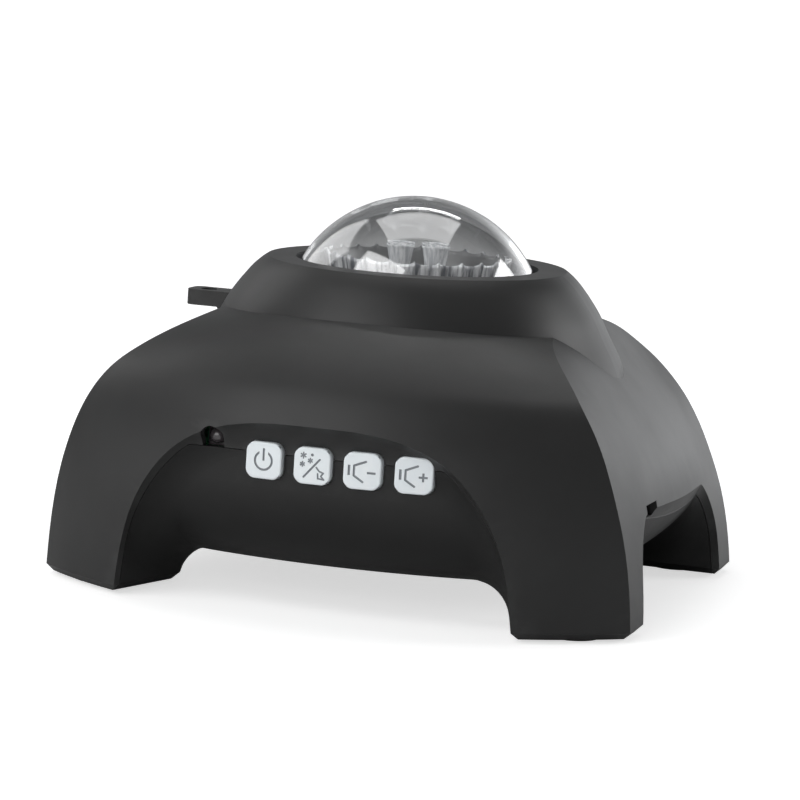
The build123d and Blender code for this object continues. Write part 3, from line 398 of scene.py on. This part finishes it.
finishes = {
    # The case's lighter edge colour is partly a painted highlight on its ridges.
    "case": moulded("case_plastic", grey(0.017), grey(0.021), (0.40, 0.47), grain=2600.0, relief=0.3,
                    dust=0.012, rub_and_highlight=0.3, rub_and_highlight_colour=grey(0.06), Specular_IOR_Level=0.4),
    # A darker, less shiny copy of the case plastic for the bottom shell: painted shade on the underside.
    "belly": moulded("belly_plastic", grey(0.010), grey(0.013), (0.44, 0.52), grain=2600.0, relief=0.3,
                     rub_and_highlight=0.2, rub_and_highlight_colour=grey(0.035), Specular_IOR_Level=0.3),
    "key": make_key_plastic(),
    "dome_clear": clear("dome_plastic", (0.98, 0.985, 0.99, 1), (0.0, 0.012), 1.49, Coat_Weight=1.0,
                        Coat_Roughness=0.0, Coat_IOR=1.7),
    "lens_clear": clear("lens_plastic", (0.97, 0.98, 1.0, 1), (0.0, 0.03), 1.53, waves=0.25),
    # The crown's white and dark upright streaks are painted reflections.
    "crown_coat": reflection_streaked("crown_coating", WHITE, (0.16, 0.165, 0.18, 1), 420.0, 0.8,
                           Metallic=0.25, Specular_IOR_Level=1.0),
    "crown_inside": moulded("crown_satin", grey(0.17), grey(0.22), (0.3, 0.4), grain=1500.0, relief=0.15,
                            Metallic=0.4),
    # The cups' white and grey upright streaks are painted reflections.
    "cups": reflection_streaked("cup_plastic", WHITE, (0.6, 0.61, 0.63, 1), 1100.0, 0.5,
                     Transmission_Weight=0.1, IOR=1.49, Specular_IOR_Level=1.0),
    "gasket": moulded("gasket_rubber", grey(0.02), grey(0.028), (0.7, 0.85), grain=1800.0, relief=0.4),
    "foot_rubber": moulded("foot_rubber", grey(0.028), grey(0.04), (0.75, 0.9), grain=1500.0, relief=0.6,
                           dust=0.2),
    "baffle": moulded("baffle_coating", grey(0.42, 1.02), grey(0.5, 1.01), (0.25, 0.35), grain=900.0,
                      relief=0.1, Metallic=0.7),
    "chassis": moulded("chassis_plastic", grey(0.03), grey(0.045), (0.4, 0.55), grain=2200.0, relief=0.3,
                       rub_and_highlight=0.2, rub_and_highlight_colour=grey(0.1)),
    "acetal": moulded("acetal_plastic", (0.8, 0.8, 0.76, 1), (0.86, 0.86, 0.83, 1), (0.3, 0.4),
                      grain=3000.0, relief=0.15),
    "plunger": moulded("plunger_plastic", grey(0.08), grey(0.11), (0.4, 0.5), grain=3000.0, relief=0.15),
    "steel": metal("plated_steel", (0.62, 0.62, 0.63, 1), (0.25, 0.4)),
    "aluminium": metal("turned_aluminium", (0.82, 0.82, 0.84, 1), (0.22, 0.35)),
    "laser_brass": metal("turned_brass", (0.78, 0.58, 0.28, 1), (0.2, 0.32)),
    "circuit_board": make_circuit_board(),
    "chip": moulded("chip_plastic", grey(0.025), grey(0.035), (0.3, 0.45), grain=3500.0, relief=0.3),
    "led": make_light_chip(),
    "receiver": moulded("receiver_plastic", (0.05, 0.045, 0.048, 1), (0.07, 0.06, 0.065, 1), (0.16, 0.22),
                        grain=500.0, relief=0.02, Coat_Weight=0.8),
    "ribbon": moulded("ribbon_plastic", grey(0.7), grey(0.8), (0.4, 0.5), grain=1200.0, relief=0.4),
    "felt": make_felt("gasket_felt", grey(0.04), 1800.0),
    "basket": moulded("basket_paint", grey(0.05), grey(0.08), (0.45, 0.6), grain=1800.0, relief=0.4),
    "cone": make_felt("cone_paper", grey(0.03), 900.0),
}

slot_of = {entry["node"]: entry["material_slot"] for entry in frame["record"]["subparts"]}


def dress(piece, material):
    """Gives a piece's object one material on all its slots."""
    if not piece.material_slots:
        piece.data.materials.append(None)
    for place in piece.material_slots:
        place.link = "OBJECT"
        place.material = material


for name, piece in frame["nodes"].items():
    # The bottom shell is dressed in the darker copy of the case plastic as painted shade.
    dress(piece, finishes["belly" if name == "bottom_shell" else slot_of[name]])


# ---------------------------------------------------------------- crown and cups inside the dome
def closed_rings(name, rings, place=(0.0, 0.0), count=288):
    """A ring-shaped skin through closed outlines; each outline gives radius and level in mm at an angle."""
    mesh = bpy.data.meshes.new(name)
    form = bmesh.new()
    angles = [2 * pi * k / count for k in range(count)]
    rows = []
    for outline in rings:
        row = []
        for angle in angles:
            radius, level = outline(angle)
            x = place[0] + radius * cos(angle)
            y = place[1] + radius * sin(angle)
            row.append(form.verts.new((x * MM, y * MM, level * MM)))
        rows.append(row)
    for i, row in enumerate(rows):
        after = rows[(i + 1) % len(rows)]
        for k in range(count):
            m = (k + 1) % count
            form.faces.new((row[k], row[m], after[m], after[k])).smooth = True
    bmesh.ops.recalc_face_normals(form, faces=form.faces)
    form.to_mesh(mesh)
    form.free()
    piece = bpy.data.objects.new(name, mesh)
    scene.collection.objects.link(piece)
    return piece


def plain(radius, level):
    """A round outline."""
    return lambda angle: (radius, level)


def plains(profile, low):
    """Round outlines through a profile of radii and rises above a level."""
    return [plain(radius, low + rise) for radius, rise in profile]


# Sizes of the crown, in mm
crown_flutes = 24
crown_low_corner, crown_high_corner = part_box("ripple_crown")
crown_foot, crown_top = crown_low_corner[2] / MM, crown_high_corner[2] / MM
crown_radius, crown_bore, crown_wall = 27.4, 14.9, 1.6
waist_radius, waist_rise = 25.2, 6.4
waist_bulge = 0.5
flute_depth, flute_deepening, flute_dip = 0.3, 0.8, 0.9
flute_steps = 6
rim_round, rim_edge, rim_flute, rim_dip = 0.5, 0.25, 1.0, 1.0
inner_edge, inner_flute = 0.3, 0.1
inner_round, inner_start = 0.1, 2.2
satin_start = 2.0
crown_outside = [(crown_bore, 0.0), (17.2, 0.0), (19.5, 3.2), (22.5, 5.0)]
crown_inside = [(24.4, 9.5), (23.0, 7.4), (18.6, 4.8), (16.6, 2.5), (crown_bore, 2.5)]


def flute(angle):
    """0 on the ridge between two flutes, 1 in the middle of a flute."""
    across = 2 * ((crown_flutes * angle / (2 * pi)) % 1.0) - 1
    return sqrt(max(0.0, 1 - across * across))


def fluted(radius, level, depth, dip=0.0):
    """An outline with hollow flutes, its edge lower in the middle of each."""
    return lambda angle: (radius - depth * flute(angle), level - dip * flute(angle))


def make_crown():
    """The fluted crown: coated flutes outside, a smooth satin inside."""
    low = crown_foot + waist_rise
    rings = plains(crown_outside, crown_foot)
    rings.append(fluted(waist_radius, low, flute_depth))
    for i in range(1, flute_steps + 1):
        t = i / flute_steps
        bulge = waist_bulge * sin(pi * t)
        radius = waist_radius + (crown_radius - waist_radius) * t + bulge * (1 - t)
        level = low + (crown_top - rim_round - low) * t
        rings.append(fluted(radius, level, flute_depth + flute_deepening * t, flute_dip * t * t))
    rings.append(fluted(crown_radius - rim_edge, crown_top, rim_flute, rim_dip))
    rings.append(fluted(crown_radius - crown_wall + inner_edge, crown_top, inner_flute, rim_dip))
    rings.append(plain(crown_radius - crown_wall - inner_round, crown_top - inner_start))
    rings += plains(crown_inside, crown_foot)
    crown = closed_rings("fluted_crown", rings)
    crown.data.materials.append(finishes["crown_coat"])
    crown.data.materials.append(finishes["crown_inside"])
    for face in crown.data.polygons:
        middle = face.center
        inside = middle.z > (crown_foot + satin_start) * MM and face.normal.xy.dot(middle.xy) < 0
        face.material_index = 1 if inside else 0
    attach(crown, "crown")
    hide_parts("ripple_crown")


# Sizes of the lens on the tower, in mm and degrees
cup_circle, cup_turn = 7.2, 17.0
lens_foot, lens_radius, lens_hole = 82.0, 13.6, 0.4
flange_profile = [(lens_radius - 0.3, 0.0), (lens_radius, 0.3), (lens_radius, 0.9),
                  (lens_radius - 0.3, 1.2), (lens_hole, 1.2)]
cup_hole, cup_steps, cup_curve = 0.3, 8, 1.6
cup_foot, cup_height, cup_foot_radius, cup_flare = lens_foot + 1.25, 13.0, 2.3, 1.6
cup_rim = [(4.15, 14.6), (4.1, 14.95), (3.4, 14.95)]
hollow_foot, hollow_height, hollow_foot_radius, hollow_flare = lens_foot + 4.5, 10.2, 1.7, 1.5


def flared(t, radius, flare, low, height):
    """The outline of a cup's wall at a share of its height."""
    return plain(radius + flare * t ** cup_curve, low + height * t)


def make_cups():
    """The lens on the tower: a flange with four flared cups."""
    base = [plain(lens_hole, lens_foot + 0.01)] + plains(flange_profile, lens_foot)
    lens = closed_rings("lens_flange", base, count=96)
    dress(lens, finishes["cups"])
    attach(lens, "base")
    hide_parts("collimator_lens")
    for k in range(4):
        angle = radians(cup_turn + 45 + 90 * k)
        place = (cup_circle * cos(angle), cup_circle * sin(angle))
        rings = [plain(cup_hole, cup_foot), plain(2.2, cup_foot)]
        for i in range(1, cup_steps + 1):
            rings.append(flared(i / cup_steps, cup_foot_radius, cup_flare, cup_foot, cup_height))
        rings += plains(cup_rim, lens_foot)
        for i in range(cup_steps - 1, -1, -1):
            rings.append(flared(i / cup_steps, hollow_foot_radius, hollow_flare, hollow_foot, hollow_height))
        rings.append(plain(cup_hole, lens_foot + 4.2))
        cup = closed_rings("lens_cup_" + str(k + 1), rings, place, count=64)
        dress(cup, finishes["cups"])
        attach(cup, "base")


make_crown()
make_cups()


# ---------------------------------------------------------------- stage, light and camera
def seen_directly(sheet):
    """1 where the camera looks straight at a surface, without glass or a mirror between."""
    return sheet.add("ShaderNodeLightPath").outputs["Is Camera Ray"]


def make_floor():
    """A wide pale floor that glows where the camera looks straight at it, like a light table."""
    mesh = bpy.data.meshes.new("floor")
    reach = 14.0
    corners = [(-reach, -reach, 0), (reach, -reach, 0), (reach, reach, 0), (-reach, reach, 0)]
    mesh.from_pydata(corners, [], [(0, 1, 2, 3)])
    floor = bpy.data.objects.new("floor", mesh)
    scene.collection.objects.link(floor)
    material, sheet, shader = new_material("floor_paint", Roughness=0.6, Specular_IOR_Level=0.2)
    place = sheet.place()
    clouds = sheet.noise(place, scale=3.0, detail=3.0)
    sheet.feed(shader["Base Color"], sheet.mix(clouds, grey(0.78), grey(0.80)))
    shader["Emission Color"].default_value = WHITE
    away = sheet.add("ShaderNodeVectorMath", {0: place}, operation="LENGTH").outputs["Value"]
    glow = sheet.ramp(away, 0.2, 2.5, to_low=0.62, to_high=0.95)
    sheet.feed(shader["Emission Strength"], sheet.times(seen_directly(sheet), glow))
    dress(floor, material)


def make_world():
    """White where the camera looks past the object; else a dim studio, lighter behind on the right."""
    world = bpy.data.worlds.new("studio")
    scene.world = world
    world.use_nodes = True
    sheet = Sheet(world.node_tree)
    way = sheet.axes(sheet.add("ShaderNodeTexCoord").outputs["Generated"])
    behind = sheet.ramp(way["Y"], -0.1, 0.7)
    to_right = sheet.ramp(way["X"], -0.2, 0.3, to_low=0.3, to_high=2.0)
    low = sheet.ramp(way["Z"], 0.05, 0.55, to_low=1.0, to_high=0.0)
    room_glow = 0.12
    dim = sheet.plus(sheet.times(behind, low, to_right), room_glow)
    background = world.node_tree.nodes["Background"]
    background.inputs["Color"].default_value = (0.97, 0.985, 1.0, 1.0)
    sheet.feed(background.inputs["Strength"], sheet.maths("MAXIMUM", dim, seen_directly(sheet)))


def soft_box(name, place, aim, width, height, radiance):
    """An area light at place that looks at aim; its power follows from its size and brightness."""
    light = bpy.data.lights.new(name, "AREA")
    light.shape = "RECTANGLE"
    light.size = width
    light.size_y = height
    light.energy = radiance * pi * width * height
    lamp = bpy.data.objects.new(name, light)
    lamp.location = place
    lamp.rotation_euler = (Vector(aim) - Vector(place)).to_track_quat("-Z", "Y").to_euler()
    scene.collection.objects.link(lamp)


def make_light():
    """Soft boxes in front, on the sides and above, and a strip behind."""
    middle = (0, 0, 0.05)
    over_dome = (0, 0, 0.1)
    soft_box("front_box", (-0.45, -1.55, 0.45), middle, 2.3, 0.9, 2.0)
    soft_box("overhead_box", (-0.6, -0.85, 1.2), middle, 1.1, 0.8, 2.5)
    soft_box("left_low_box", (-1.45, -0.6, 0.2), middle, 0.6, 0.4, 1.6)
    soft_box("left_box", (-1.25, 0.5, 0.85), over_dome, 0.9, 0.9, 1.2)
    soft_box("right_box", (1.2, 0.85, 0.72), middle, 0.7, 0.7, 3.6)
    soft_box("top_box", (-0.15, 0.45, 1.5), over_dome, 1.1, 0.95, 1.25)
    soft_box("back_strip", (-0.25, 1.08, 1.2), over_dome, 0.75, 0.035, 14.0)


def make_camera():
    """The camera: 17 degrees to the right of the front, 8 degrees up, rolled 3.5 degrees."""
    azimuth, elevation, roll = radians(17.0), radians(8.0), radians(3.5)
    distance = 1.1
    aim_right, aim_up = -0.0026, 0.0009
    sensor = 36.0
    focal_pixels = 3.423 * 1100.0
    picture_width = 800.0
    back = Vector((sin(azimuth) * cos(elevation), -cos(azimuth) * cos(elevation), sin(elevation)))
    right = Vector((cos(azimuth), sin(azimuth), 0.0))
    up = back.cross(right)
    side = right * cos(roll) + up * sin(roll)
    top = up * cos(roll) - right * sin(roll)
    aim = Vector((0, 0, 0.05)) + right * aim_right + up * aim_up
    data = bpy.data.cameras.new("camera")
    data.sensor_width = sensor
    data.lens = sensor * focal_pixels / picture_width
    data.clip_start = 0.05
    data.clip_end = 60.0
    camera = bpy.data.objects.new("camera", data)
    turned = Matrix((side, top, back)).transposed().to_4x4()
    camera.matrix_world = Matrix.Translation(aim + back * distance) @ turned
    scene.collection.objects.link(camera)
    scene.camera = camera


make_floor()
make_world()
make_light()
make_camera()
scene.view_settings.view_transform = "Standard"
